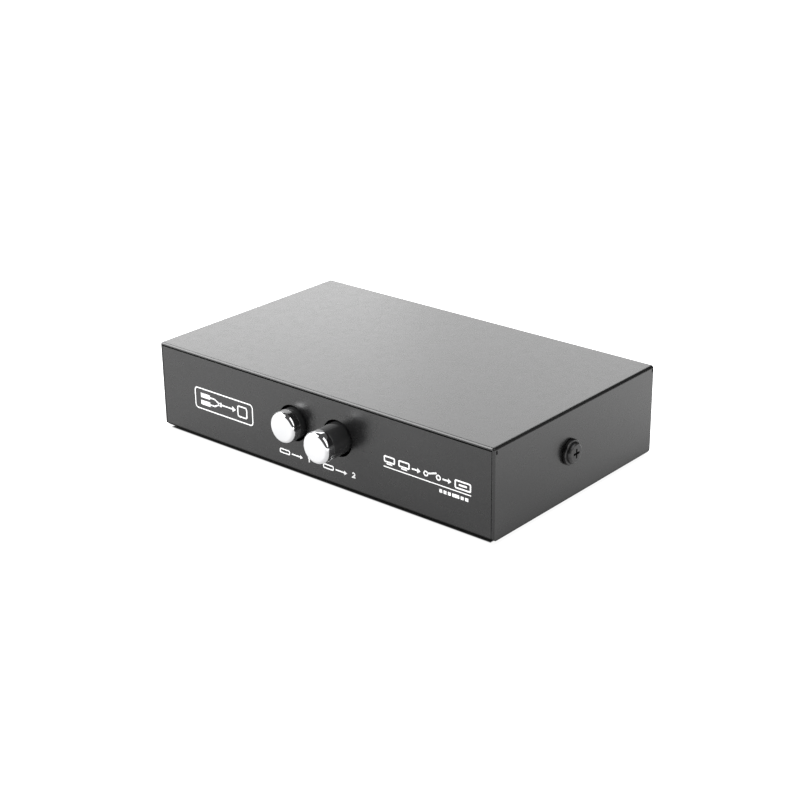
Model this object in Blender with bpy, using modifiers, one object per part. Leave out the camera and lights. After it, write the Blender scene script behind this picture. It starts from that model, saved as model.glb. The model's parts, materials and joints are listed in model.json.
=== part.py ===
"""A two-way USB sharing switch in a folded steel case: press one button in and the other comes out.

Metres, +Z up, the front panel faces -Y. The origin is under the middle of the whole object's box.
"""

import math

import bmesh
import bpy
from mathutils import Vector

MM = 0.001

GAP = 0.3 * MM  # between pieces that touch
FINE_GAP = 0.1 * MM  # the same for the smallest pieces

# Driving dimensions of the case
CASE_WIDTH = 117.0 * MM
CASE_DEPTH = 70.0 * MM
CASE_HEIGHT = 25.0 * MM
SHEET = 0.8 * MM
BEND = 1.2 * MM  # outer radius of the chassis's bends
COVER_BEND = 0.9 * MM  # and of the cover's
SEAM = 0.1 * MM  # between the front panel's edge and the cover's side
COVER_LIFT = 0.2 * MM  # the cover's lower edge above the floor's underside
COVER_CORNER = 1.0 * MM
SLIT_FROM_EDGE = (0.6 * MM, 1.15 * MM)
SLIT_BELOW_TOP = (0.8 * MM, 1.8 * MM)
TAB_HALF_WIDTH = 6.0 * MM
TAB_HEIGHT = 18.0 * MM
FOOT_HEIGHT = 0.7 * MM
FOOT_RADIUS = 4.0 * MM
FOOT_INSET = 10.0 * MM

# Buttons: the first rests latched in, the second rests out
BUTTON_OUT = 8.6 * MM  # how far a released button stands out of the panel
TRAVEL = 4.2 * MM
PITCH = 15.75 * MM
BUTTONS_X = -0.1 * MM  # the middle of the pair
AXIS_ABOVE_CASE = 13.8 * MM
PANEL_HOLE_RADIUS = 5.1 * MM
CAP_RADIUS = 4.45 * MM
CAP_DEPTH = 2.6 * MM
CAP_EDGE = 0.9 * MM  # radius of the edge round its face
CAP_TAPER = 0.08 * MM  # how much narrower its side is behind that edge than at its rear
CAP_BORE = 3.9 * MM
CAP_SKIN = 0.7 * MM  # thickness of its face
SLEEVE_RADIUS = 4.35 * MM
SLEEVE_LENGTH = 13.8 * MM  # from a button's face to the rear of its sleeve

# Sockets in the rear panel
SOCKET_OUT = 0.6 * MM  # how far a socket shell stands out of the rear panel
USB_B_X = (-21.0 * MM, 0.0)
USB_B_WIDTH = 12.0 * MM
USB_B_HEIGHT = 11.0 * MM
USB_B_LENGTH = 16.0 * MM
USB_B_MOUTH = (8.5 * MM, 7.8 * MM)
USB_B_CHAMFER = 1.9 * MM
USB_B_POCKET = 9.6 * MM  # depth of its mouth
USB_B_TONGUE_HALF = 2.8 * MM
USB_B_TONGUE_RISE = 1.6 * MM  # half of its thickness
USB_B_TONGUE_BACK = 1.4 * MM  # how far its tip stands behind the mouth
USB_A_X = 21.0 * MM
USB_A_WIDTH = 13.1 * MM
USB_A_HEIGHT = 5.8 * MM
USB_A_LENGTH = 14.0 * MM
USB_A_BLOCK = 4.0 * MM  # length of the insert behind its tongue
USB_A_TONGUE_HALF = 5.55 * MM
USB_A_TONGUE_RISE = 0.9 * MM
USB_A_TONGUE_UP = 3.6 * MM  # its middle above the shell's underside
USB_A_TONGUE_BACK = 1.2 * MM
SHELL_WALL = 0.4 * MM
CONTACT_WIDTH = 1.0 * MM
CONTACT_THICKNESS = 0.3 * MM
CONTACT_SINK = 0.2 * MM  # how deep a contact lies in its groove
CONTACT_TAIL_GAP = 0.8 * MM  # from a socket's back to its first row of tails
CONTACT_ROW = 2.0 * MM
CONTACT_BACK = 1.0 * MM  # from a tongue's tip to the contacts' tips

# Places worked out from the above. The box runs from the released button to the socket shells.
FRONT = (BUTTON_OUT - SOCKET_OUT - CASE_DEPTH) / 2
REAR = FRONT + CASE_DEPTH
BASE_Z = FOOT_HEIGHT
TOP_Z = BASE_Z + CASE_HEIGHT
AXIS_Z = BASE_Z + AXIS_ABOVE_CASE
HALF_WIDTH = CASE_WIDTH / 2
CHASSIS_HALF = HALF_WIDTH - SHEET - SEAM
BUTTON_X = (BUTTONS_X - PITCH / 2, BUTTONS_X + PITCH / 2)
BUTTON_FACE_Y = (FRONT - BUTTON_OUT + TRAVEL, FRONT - BUTTON_OUT)
SOCKET_MOUTH = REAR + SOCKET_OUT

# Side screws
SCREW_Y = FRONT + 31.5 * MM
SCREW_Z = BASE_Z + 13.3 * MM
SCREW_HOLE_RADIUS = 1.7 * MM
# Radius and height of a screw's flange and head above its seat, and of its shank below
SIDE_SCREW = ((3.5 * MM, 0.95 * MM), (2.9 * MM, 1.95 * MM), (1.4 * MM, 6.0 * MM))
SIDE_SCREW_CROSS = (3.4 * MM, 1.2 * MM)  # width and depth of its recess
BOARD_SCREW = ((2.4 * MM, 0.3 * MM), (2.2 * MM, 1.6 * MM), (1.2 * MM, 5.6 * MM))
BOARD_SCREW_CROSS = (2.6 * MM, 1.0 * MM)
CROSS_BAR = 0.24  # width of a recess's bars as a share of their length
CROSS_TAPER = 0.5  # size of a recess at its bottom as a share of that at its mouth

# Circuit board
BOARD_HALF_WIDTH = 34.0 * MM
BOARD_FRONT = FRONT + 12.0 * MM
BOARD_REAR = REAR - SHEET - 0.7 * MM
BOARD_Z = BASE_Z + 6.8 * MM
BOARD_THICKNESS = 1.6 * MM
BOARD_TOP = BOARD_Z + BOARD_THICKNESS
BOARD_SCREWS_X = (-30.5 * MM, 30.5 * MM)
BOARD_SCREWS_Y = (FRONT + 17.0 * MM, REAR - 7.0 * MM)
BOARD_SCREWS = [(x, y) for y in BOARD_SCREWS_Y for x in BOARD_SCREWS_X]
ABOVE_BOARD = BOARD_TOP + GAP  # where the sockets and the switch stand

# Interlocked switch, from front to back
FRAME_Y = FRONT + 14.0 * MM
FRAME_SHEET = 0.8 * MM
FRAME_HALF = 20.25 * MM
FRAME_BEND = 1.0 * MM
FRAME_ROOF = 8.0 * MM  # length of its top flange
FRAME_CHEEK = 6.0 * MM  # and of its two side flanges
LATCH_Y = FRAME_Y + FRAME_SHEET + GAP
LATCH_THICKNESS = 0.6 * MM
LATCH_TRAVEL = 1.0 * MM
LATCH_HALF = 16.5 * MM
LATCH_RISE = 4.0 * MM  # half of its height
LATCH_TAB = 3.4 * MM  # how far the tab for its spring reaches back
LATCH_TAB_RISE = 2.0 * MM
HOUSING_Y = FRAME_Y + 2.2 * MM
HOUSING_LENGTH = 20.0 * MM
HOUSING_WALL = 1.2 * MM
HOUSING_HALF_WIDTH = 5.0 * MM
HOUSING_HALF_HEIGHT = 5.1 * MM
HOUSING_ROOF = 1.4 * MM
HOUSING_SIDE = 1.0 * MM
BASE_THICKNESS = 1.0 * MM
PLUNGER_HALF = 2.0 * MM
PLUNGER_HOLE_HALF = 2.4 * MM
CATCH_HEIGHT = 0.6 * MM
CATCH_LENGTH = 2.0 * MM
CATCH_RISE = 1.1 * MM  # half of its width up the plunger's side
CATCH_WAY_RISE = 1.5 * MM  # the same for the way it passes through
COLLAR_FROM_FACE = 14.1 * MM
COLLAR_THICKNESS = 0.8 * MM
COLLAR_RADIUS = 3.8 * MM
STEM_FROM_FACE = 6.0 * MM  # from a button's face to the front of its plunger
PLUNGER_FROM_FACE = 45.8 * MM  # and to the rear of it
CATCH_FROM_FACE = 20.5 * MM
WIPER_FROM_FACE = 34.3 * MM
WIPER_HALF = 4.0 * MM
WIPER_HALF_WIDTH = 2.8 * MM
WIPER_DROP = 1.4 * MM  # from its bridge down to its feet
WIPER_THICKNESS = 0.25 * MM

# Radius of the coil, diameter of the wire, and turns
RETURN_SPRING = (3.3 * MM, 0.35 * MM, 7)
LATCH_SPRING = (1.2 * MM, 0.2 * MM, 5)

BLACK_PAINT = ("black_paint", (0.035, 0.035, 0.037), 0.38, 0.0)
BLACK_PLASTIC = ("black_plastic", (0.012, 0.012, 0.013), 0.22, 0.0)
WHITE_PLASTIC = ("white_plastic", (0.72, 0.71, 0.67), 0.45, 0.0)
BROWN_LAMINATE = ("brown_laminate", (0.16, 0.08, 0.04), 0.6, 0.0)
GREEN_BOARD = ("green_board", (0.02, 0.13, 0.06), 0.4, 0.0)
CHROME = ("chrome", (0.85, 0.85, 0.86), 0.08, 1.0)
BLACK_SCREW = ("black_screw", (0.03, 0.03, 0.03), 0.35, 1.0)
ZINC = ("zinc", (0.62, 0.62, 0.6), 0.3, 1.0)
NICKEL = ("nickel", (0.7, 0.69, 0.66), 0.25, 1.0)
BRASS = ("brass", (0.75, 0.57, 0.28), 0.25, 1.0)
GOLD = ("gold", (0.86, 0.62, 0.26), 0.2, 1.0)
SPRING_STEEL = ("spring_steel", (0.5, 0.5, 0.5), 0.25, 1.0)
RUBBER = ("rubber", (0.02, 0.02, 0.02), 0.85, 0.0)


# Scene helpers


def clear_scene():
    for obj in list(bpy.data.objects):
        bpy.data.objects.remove(obj, do_unlink=True)


def new_collection(name):
    collection = bpy.data.collections.new(name)
    bpy.context.scene.collection.children.link(collection)
    return collection


def material(finish):
    name, colour, roughness, metallic = finish
    made = bpy.data.materials.get(name)
    if made:
        return made
    made = bpy.data.materials.new(name)
    made.use_nodes = True
    shader = made.node_tree.nodes["Principled BSDF"]
    shader.inputs["Base Color"].default_value = (*colour, 1.0)
    shader.inputs["Roughness"].default_value = roughness
    shader.inputs["Metallic"].default_value = metallic
    return made


def add_part(name, data, finish, location=(0, 0, 0)):
    part = bpy.data.objects.new(name, data)
    part.location = location
    data.materials.append(material(finish))
    PARTS.objects.link(part)
    return part


def mesh_from(bm, name):
    bmesh.ops.recalc_face_normals(bm, faces=bm.faces)
    data = bpy.data.meshes.new(name)
    bm.to_mesh(data)
    bm.free()
    return data


def box_mesh(name, size):
    bm = bmesh.new()
    bmesh.ops.create_cube(bm, size=1.0)
    bmesh.ops.scale(bm, vec=size, verts=bm.verts)
    return mesh_from(bm, name)


def middle_and_size(low, high):
    low, high = Vector(low), Vector(high)
    return (low + high) / 2, high - low


def box(name, low, high, finish):
    """A block between two corners, with its origin at its middle."""
    middle, size = middle_and_size(low, high)
    return add_part(name, box_mesh(name, size), finish, middle)


def hide_helper(helper):
    helper.hide_render = True
    helper.display_type = "WIRE"
    CUTTERS.objects.link(helper)
    return helper


def box_cutter(name, low, high):
    middle, size = middle_and_size(low, high)
    cutter = bpy.data.objects.new(name, box_mesh(name, size))
    cutter.location = middle
    return hide_helper(cutter)


def round_cutter(name, centre, radius, length, axis, segments=32):
    """A cylinder centred on a point, along +X, +Y or +Z."""
    bm = bmesh.new()
    bmesh.ops.create_cone(
        bm, cap_ends=True, segments=segments, radius1=radius, radius2=radius, depth=length
    )
    cutter = bpy.data.objects.new(name, mesh_from(bm, name))
    cutter.location = centre
    cutter.rotation_euler = Vector(axis).to_track_quat("Z", "Y").to_euler()
    return hide_helper(cutter)


def combine(part, helper, operation):
    modifier = part.modifiers.new(f"{operation.lower()} {helper.name}", "BOOLEAN")
    modifier.operation = operation
    modifier.object = helper
    modifier.solver = "EXACT"
    return part


def cut(part, helper):
    return combine(part, helper, "DIFFERENCE")


def join(part, helper):
    return combine(part, helper, "UNION")


def cut_box(part, low, high):
    return cut(part, box_cutter(f"{part.name}_cut_{len(part.modifiers)}", low, high))


def join_box(part, low, high):
    return join(part, box_cutter(f"{part.name}_join_{len(part.modifiers)}", low, high))


def cut_round(part, centre, radius, length, axis, segments=32):
    name = f"{part.name}_hole_{len(part.modifiers)}"
    return cut(part, round_cutter(name, centre, radius, length, axis, segments))


def arc(centre, radius, start, end, steps=5):
    """Points on a circle in a plane, from one angle in degrees to another."""
    angles = [math.radians(start + (end - start) * i / steps) for i in range(steps + 1)]
    return [(centre[0] + radius * math.cos(a), centre[1] + radius * math.sin(a)) for a in angles]


def bent_sheet(name, path, along, start, end, thickness, finish):
    """A folded sheet: an open path in a plane, drawn out along X or Y, and thickened inwards.

    The path is the outer surface. It is in (y, z) when drawn along X and in (x, z) along Y.
    """
    bm = bmesh.new()
    rows = []
    for place in (start, end):
        points = [(place, a, b) if along == "X" else (a, place, b) for a, b in path]
        rows.append([bm.verts.new(point) for point in points])
    near, far = rows
    for i in range(len(path) - 1):
        bm.faces.new((near[i], near[i + 1], far[i + 1], far[i]))
    data = bpy.data.meshes.new(name)
    bm.to_mesh(data)
    bm.free()
    part = add_part(name, data, finish)
    solidify = part.modifiers.new("sheet", "SOLIDIFY")
    solidify.thickness = thickness
    solidify.offset = -1.0
    solidify.use_even_offset = True
    return part


def turned(name, profile, origin, axis, finish, steps=32):
    """A turned part. The profile is (radius, height), down its outer side from top to bottom."""
    bm = bmesh.new()
    points = [bm.verts.new((radius, 0, height)) for radius, height in profile]
    for first, second in zip(points, points[1:]):
        bm.edges.new((first, second))
    data = bpy.data.meshes.new(name)
    bm.to_mesh(data)
    bm.free()
    part = add_part(name, data, finish, origin)
    part.rotation_euler = Vector(axis).to_track_quat("Z", "Y").to_euler()
    screw = part.modifiers.new("turn", "SCREW")
    screw.axis = "Z"
    screw.steps = screw.render_steps = steps
    screw.use_merge_vertices = True
    screw.merge_threshold = 0.00001
    screw.use_smooth_shade = True
    return part


def coil(name, start, end, radius, wire, turns, finish):
    """A coil spring between two points, with a flat turn at each end."""
    start, end = Vector(start), Vector(end)
    axis = end - start
    length = axis.length - wire
    per_turn = 12
    count = turns * per_turn
    curve = bpy.data.curves.new(name, "CURVE")
    curve.dimensions = "3D"
    curve.bevel_depth = wire / 2
    curve.bevel_resolution = 2
    curve.use_fill_caps = True
    spline = curve.splines.new("POLY")
    spline.points.add(count)
    for i, point in enumerate(spline.points):
        angle = 2 * math.pi * i / per_turn
        share = min(max((i - per_turn) / (count - 2 * per_turn), 0.0), 1.0)
        closed = wire * 1.15 * (min(i, per_turn) + max(i - count + per_turn, 0)) / per_turn
        height = wire / 2 + closed + share * (length - 2 * wire * 1.15)
        point.co = (radius * math.cos(angle), radius * math.sin(angle), height, 1.0)
    part = add_part(name, curve, finish, start)
    part.rotation_euler = axis.to_track_quat("Z", "Y").to_euler()
    return part


def prism_mesh(name, outline, along, start, end):
    """A closed outline in (y, z) drawn out along X, or in (x, z) drawn out along Y."""
    bm = bmesh.new()
    points = [(start, a, b) if along == "X" else (a, start, b) for a, b in outline]
    face = bm.faces.new([bm.verts.new(point) for point in points])
    drawn = bmesh.ops.extrude_face_region(bm, geom=[face])
    moved = [item for item in drawn["geom"] if isinstance(item, bmesh.types.BMVert)]
    reach = (end - start, 0, 0) if along == "X" else (0, end - start, 0)
    bmesh.ops.translate(bm, vec=reach, verts=moved)
    return mesh_from(bm, name)


# Case


def make_base_chassis():
    """Front panel, floor and rear panel from one folded sheet, with a tab for each side screw."""
    top = TOP_Z - SHEET - GAP
    path = [(REAR, top)]
    path += arc((REAR - BEND, BASE_Z + BEND), BEND, 0, -90)
    path += arc((FRONT + BEND, BASE_Z + BEND), BEND, -90, -180)
    path += [(FRONT, top)]
    chassis = bent_sheet(
        "base_chassis", path, "X", CHASSIS_HALF, -CHASSIS_HALF, SHEET, BLACK_PAINT
    )
    outer = CHASSIS_HALF - FINE_GAP / 2
    for side in (-1, 1):
        near, far = sorted((side * outer, side * (outer - SHEET)))
        low = (near, SCREW_Y - TAB_HALF_WIDTH, BASE_Z + SHEET / 2)
        high = (far, SCREW_Y + TAB_HALF_WIDTH, BASE_Z + TAB_HEIGHT)
        join_box(chassis, low, high)
        hole = (side * CHASSIS_HALF, SCREW_Y, SCREW_Z)
        cut_round(chassis, hole, SCREW_HOLE_RADIUS, 4 * SHEET, (1, 0, 0), 24)
    for x in BUTTON_X:
        cut_round(chassis, (x, FRONT, AXIS_Z), PANEL_HOLE_RADIUS, 4 * SHEET, (0, 1, 0), 48)
    for x, width, height in socket_sizes():
        half = width / 2 + GAP
        low = (x - half, REAR - 2 * SHEET, BOARD_TOP)
        high = (x + half, REAR + SHEET, ABOVE_BOARD + height + GAP)
        cut_box(chassis, low, high)
    for x, y in foot_places():
        cut_round(chassis, (x, y, BASE_Z), FOOT_RADIUS + GAP, 2 * GAP, (0, 0, 1), 32)
    return chassis


def make_top_cover():
    """Top and both sides from one folded sheet, with relief slits where the top's lip meets the sides."""
    low = BASE_Z + COVER_LIFT
    path = [(HALF_WIDTH, low)]
    path += arc((HALF_WIDTH - COVER_BEND, TOP_Z - COVER_BEND), COVER_BEND, 0, 90)
    path += arc((-HALF_WIDTH + COVER_BEND, TOP_Z - COVER_BEND), COVER_BEND, 90, 180)
    path += [(-HALF_WIDTH, low)]
    cover = bent_sheet("top_cover", path, "Y", REAR, FRONT, SHEET, BLACK_PAINT)
    for side in (-1, 1):
        x = side * HALF_WIDTH
        cut_round(cover, (x, SCREW_Y, SCREW_Z), SCREW_HOLE_RADIUS, 4 * SHEET, (1, 0, 0), 24)
        for end, inward in ((FRONT, 1), (REAR, -1)):
            trim_lower_corner(cover, x, end, inward, low)
            cut_relief_slit(cover, x, end, inward)
    return cover


def trim_lower_corner(cover, x, end, inward, low):
    """Rounds off one lower corner of a side."""
    radius = COVER_CORNER
    centre = (end + inward * radius, low + radius)
    outline = arc(centre, radius, 270, 270 - inward * 90, 4)
    past = 0.5 * MM
    outline += [(end - inward * past, low + radius), (end - inward * past, low - past)]
    outline += [(end + inward * radius, low - past)]
    name = f"{cover.name}_corner_{len(cover.modifiers)}"
    data = prism_mesh(name, outline, "X", x - 2 * SHEET, x + 2 * SHEET)
    cut(cover, hide_helper(bpy.data.objects.new(name, data)))


def cut_relief_slit(cover, x, end, inward):
    near, far = sorted(end + inward * reach for reach in SLIT_FROM_EDGE)
    upper, lower = SLIT_BELOW_TOP
    through = 2 * SHEET
    cut_box(cover, (x - through, near, TOP_Z - lower), (x + through, far, TOP_Z - upper))


def foot_places():
    """Front left, front right, rear left, rear right."""
    ends = (FRONT + FOOT_INSET, REAR - FOOT_INSET)
    return [(side * (HALF_WIDTH - FOOT_INSET), end) for end in ends for side in (-1, 1)]


def make_feet():
    """Stick-on rubber discs, each in a shallow ring pressed into the floor."""
    names = ("foot_front_left", "foot_front_right", "foot_rear_left", "foot_rear_right")
    edge = 0.2 * MM
    profile = [
        (0, FOOT_HEIGHT),
        (FOOT_RADIUS, FOOT_HEIGHT),
        (FOOT_RADIUS, edge),
        (FOOT_RADIUS - edge, 0),
        (0, 0),
    ]
    for name, (x, y) in zip(names, foot_places()):
        turned(name, profile, (x, y, 0), (0, 0, 1), RUBBER)


def phillips(screw, point, axis, width, depth):
    """Cuts a tapered cross recess into a screw's head at a point on its axis."""
    turn = Vector(axis).to_track_quat("Z", "Y")
    narrow = width * CROSS_BAR
    for size in ((width, narrow), (narrow, width)):
        bm = bmesh.new()
        bmesh.ops.create_cube(bm, size=1.0)
        bmesh.ops.scale(bm, vec=(*size, 2 * depth), verts=bm.verts)
        for vert in bm.verts:
            if vert.co.z < 0:
                vert.co.x *= CROSS_TAPER
                vert.co.y *= CROSS_TAPER
        name = f"{screw.name}_cross_{len(screw.modifiers)}"
        cutter = bpy.data.objects.new(name, mesh_from(bm, name))
        cutter.location = point
        cutter.rotation_euler = turn.to_euler()
        cut(screw, hide_helper(cutter))


def screw_profile(flange, head, shank):
    """Washer flange, rounded pan head and plain shank, each a radius and its height off the seat."""
    radius, height = head
    round_off = 0.45 * height
    crown = arc((radius - round_off, height - round_off), round_off, 90, 0, 4)
    core, length = shank
    point = 0.4 * MM
    return [
        (0, height),
        *crown,
        (radius, flange[1]),
        flange,
        (flange[0], 0),
        (core, 0),
        (core, point - length),
        (core - point, -length),
        (0, -length),
    ]


def make_screw(name, seat, axis, sizes, cross, finish, steps):
    """A screw on its seat. The cross is the width and depth of its recess."""
    screw = turned(name, screw_profile(*sizes), seat, axis, finish, steps)
    head_height = sizes[1][1]
    phillips(screw, Vector(seat) + Vector(axis) * head_height, axis, *cross)


def make_side_screws():
    for name, side in (("side_screw_left", -1), ("side_screw_right", 1)):
        seat = (side * (HALF_WIDTH + FINE_GAP), SCREW_Y, SCREW_Z)
        make_screw(name, seat, (side, 0, 0), SIDE_SCREW, SIDE_SCREW_CROSS, BLACK_SCREW, 32)


# Circuit board


def make_circuit_board():
    low = (-BOARD_HALF_WIDTH, BOARD_FRONT, BOARD_Z)
    high = (BOARD_HALF_WIDTH, BOARD_REAR, BOARD_TOP)
    board = box("circuit_board", low, high, GREEN_BOARD)
    middle = BOARD_Z + BOARD_THICKNESS / 2
    for x, y in BOARD_SCREWS:
        cut_round(board, (x, y, middle), 1.6 * MM, 4 * MM, (0, 0, 1), 20)
    for x, y in contact_tails():
        half = 0.5 * CONTACT_WIDTH + FINE_GAP
        low = (x - half, y - FINE_GAP, BOARD_Z - 1 * MM)
        high = (x + half, y + CONTACT_THICKNESS + FINE_GAP, BOARD_TOP + 1 * MM)
        cut_box(board, low, high)


def make_standoffs():
    """Round threaded spacers between the floor and the board."""
    floor = BASE_Z + SHEET + GAP
    height = BOARD_Z - GAP - floor
    outer, bore, depth = 2.5 * MM, 1.5 * MM, 4.4 * MM
    profile = [(0, height - depth), (bore, height - depth), (bore, height)]
    profile += [(outer, height), (outer, 0), (0, 0)]
    for number, (x, y) in enumerate(BOARD_SCREWS, 1):
        turned(f"board_standoff_{number}", profile, (x, y, floor), (0, 0, 1), BRASS, 20)


def make_board_screws():
    for number, (x, y) in enumerate(BOARD_SCREWS, 1):
        seat = (x, y, BOARD_TOP + FINE_GAP)
        name = f"board_screw_{number}"
        make_screw(name, seat, (0, 0, 1), BOARD_SCREW, BOARD_SCREW_CROSS, ZINC, 20)


# Sockets


def socket_sizes():
    """(x, width, height) of each socket's shell."""
    sizes = [(x, USB_B_WIDTH, USB_B_HEIGHT) for x in USB_B_X]
    return sizes + [(USB_A_X, USB_A_WIDTH, USB_A_HEIGHT)]


def contact_offsets(kind):
    """Each contact of a socket: x from the middle, whether it lies on top, and its tail's row."""
    if kind == "b":
        rows = ((True, 1), (False, 0))  # a strip on top reaches over the tails of those below
        return [(x, top, row) for top, row in rows for x in (-1.25 * MM, 1.25 * MM)]
    return [(x, False, 0) for x in (-3.5 * MM, -1.0 * MM, 1.0 * MM, 3.5 * MM)]


def tail_y(kind, row):
    length = USB_B_LENGTH if kind == "b" else USB_A_LENGTH
    return SOCKET_MOUTH - length - CONTACT_TAIL_GAP - row * CONTACT_ROW


def contact_tails():
    """(x, front edge y) of every contact's tail, where it goes through the board."""
    places = []
    for kind, middles in (("b", USB_B_X), ("a", (USB_A_X,))):
        for middle in middles:
            places += [(middle + x, tail_y(kind, row)) for x, top, row in contact_offsets(kind)]
    return places


def square_mouth(middle_x, middle_z):
    """The outline of a square socket's mouth, with its two upper corners cut off."""
    width, height = USB_B_MOUTH
    chamfer = USB_B_CHAMFER
    left, right = middle_x - width / 2, middle_x + width / 2
    low, high = middle_z - height / 2, middle_z + height / 2
    return [
        (left, low),
        (right, low),
        (right, high - chamfer),
        (right - chamfer, high),
        (left + chamfer, high),
        (left, high - chamfer),
    ]


def cut_mouth(part, outline, depth_y):
    name = f"{part.name}_mouth"
    data = prism_mesh(name, outline, "Y", depth_y, SOCKET_MOUTH + 1 * MM)
    cut(part, hide_helper(bpy.data.objects.new(name, data)))


def make_usb_b_socket(number, x):
    """A square socket: steel shell, moulded insert with a centre tongue, and its contacts."""
    name = f"usb_b_{number}"
    back = SOCKET_MOUTH - USB_B_LENGTH
    half = USB_B_WIDTH / 2
    top = ABOVE_BOARD + USB_B_HEIGHT
    middle_z = ABOVE_BOARD + USB_B_HEIGHT / 2
    mouth = square_mouth(x, middle_z)
    shell = box(f"{name}_shell", (x - half, back, ABOVE_BOARD), (x + half, SOCKET_MOUTH, top), NICKEL)
    wall = SHELL_WALL
    low = (x - half + wall, back - 1 * MM, ABOVE_BOARD + wall)
    high = (x + half - wall, SOCKET_MOUTH - wall, top - wall)
    cut_box(shell, low, high)
    cut_mouth(shell, mouth, SOCKET_MOUTH - 2 * MM)

    inside = wall + FINE_GAP
    front = SOCKET_MOUTH - wall - FINE_GAP
    low = (x - half + inside, back, ABOVE_BOARD + inside)
    high = (x + half - inside, front, top - inside)
    insert = box(f"{name}_insert", low, high, BLACK_PLASTIC)
    pocket_end = SOCKET_MOUTH - USB_B_POCKET
    cut_mouth(insert, mouth, pocket_end)
    rise, tip = USB_B_TONGUE_RISE, SOCKET_MOUTH - USB_B_TONGUE_BACK
    low = (x - USB_B_TONGUE_HALF, pocket_end - 1 * MM, middle_z - rise)
    high = (x + USB_B_TONGUE_HALF, tip, middle_z + rise)
    join_box(insert, low, high)
    add_contacts(name, insert, "b", x, middle_z, rise, tip - CONTACT_BACK)


def make_usb_a_socket(x):
    """A flat socket: steel shell, moulded insert with a tongue, and its contacts."""
    back = SOCKET_MOUTH - USB_A_LENGTH
    half = USB_A_WIDTH / 2
    top = ABOVE_BOARD + USB_A_HEIGHT
    wall = SHELL_WALL
    shell = box("usb_a_shell", (x - half, back, ABOVE_BOARD), (x + half, SOCKET_MOUTH, top), NICKEL)
    low = (x - half + wall, back - 1 * MM, ABOVE_BOARD + wall)
    high = (x + half - wall, SOCKET_MOUTH + 1 * MM, top - wall)
    cut_box(shell, low, high)

    inside = wall + FINE_GAP
    low = (x - half + inside, back, ABOVE_BOARD + inside)
    high = (x + half - inside, back + USB_A_BLOCK, top - inside)
    insert = box("usb_a_insert", low, high, WHITE_PLASTIC)
    rise, tip = USB_A_TONGUE_RISE, SOCKET_MOUTH - USB_A_TONGUE_BACK
    tongue_z = ABOVE_BOARD + USB_A_TONGUE_UP
    low = (x - USB_A_TONGUE_HALF, back + 1 * MM, tongue_z - rise)
    high = (x + USB_A_TONGUE_HALF, tip, tongue_z + rise)
    join_box(insert, low, high)
    add_contacts("usb_a", insert, "a", x, tongue_z, rise, tip - CONTACT_BACK)


def add_contacts(name, insert, kind, middle_x, tongue_z, tongue_rise, tip_y):
    """Gilt strips let into the tongue, whose tails turn down behind the socket into the board."""
    for number, (x, top, row) in enumerate(contact_offsets(kind), 1):
        outer = tongue_z + tongue_rise - CONTACT_SINK + CONTACT_THICKNESS
        if not top:
            outer = tongue_z - tongue_rise + CONTACT_SINK
        inner = outer - CONTACT_THICKNESS
        tail = tail_y(kind, row)
        end = BOARD_Z - 1.2 * MM
        outline = [
            (tip_y, outer),
            (tail, outer),
            (tail, end),
            (tail + CONTACT_THICKNESS, end),
            (tail + CONTACT_THICKNESS, inner),
            (tip_y, inner),
        ]
        left = middle_x + x - CONTACT_WIDTH / 2
        right = middle_x + x + CONTACT_WIDTH / 2
        contact = f"{name}_contact_{number}"
        add_part(contact, prism_mesh(contact, outline, "X", left, right), GOLD)
        clear = FINE_GAP
        low = (left - clear, tail - 5 * MM, inner - clear)
        high = (right + clear, tip_y + clear, outer + clear)
        if top:
            high = (high[0], high[1], tongue_z + tongue_rise + 0.5 * MM)
        else:
            low = (low[0], low[1], tongue_z - tongue_rise - 0.5 * MM)
        cut_box(insert, low, high)


# Interlocked switch


def make_switch_frame():
    """The steel front plate and top flange that hold both switch housings and guide the latch."""
    low = ABOVE_BOARD
    top = AXIS_Z + HOUSING_HALF_HEIGHT + GAP + FRAME_SHEET
    path = [(FRAME_Y, low)]
    path += arc((FRAME_Y + FRAME_BEND, top - FRAME_BEND), FRAME_BEND, 180, 90)
    path += [(FRAME_Y + FRAME_ROOF, top)]
    left, right = BUTTONS_X - FRAME_HALF, BUTTONS_X + FRAME_HALF
    frame = bent_sheet("switch_frame", path, "X", right, left, FRAME_SHEET, ZINC)
    for edge, inward in ((left, 1), (right, -1)):
        near, far = sorted((edge, edge + inward * FRAME_SHEET))
        lower = (near, FRAME_Y + FRAME_SHEET / 2, low + FINE_GAP)
        upper = (far, FRAME_Y + FRAME_CHEEK, top - FRAME_SHEET / 2)
        join_box(frame, lower, upper)
    for x in BUTTON_X:
        cut_plunger_way(frame, x, FRAME_Y - 1 * MM, FRAME_Y + 2 * MM)
    return frame


def cut_plunger_way(part, x, start, end):
    """A square hole for a plunger, with room for the catch on its right."""
    half = PLUNGER_HOLE_HALF
    cut_box(part, (x - half, start, AXIS_Z - half), (x + half, end, AXIS_Z + half))
    reach = PLUNGER_HOLE_HALF + CATCH_HEIGHT
    rise = CATCH_WAY_RISE
    cut_box(part, (x, start, AXIS_Z - rise), (x + reach, end, AXIS_Z + rise))


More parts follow.
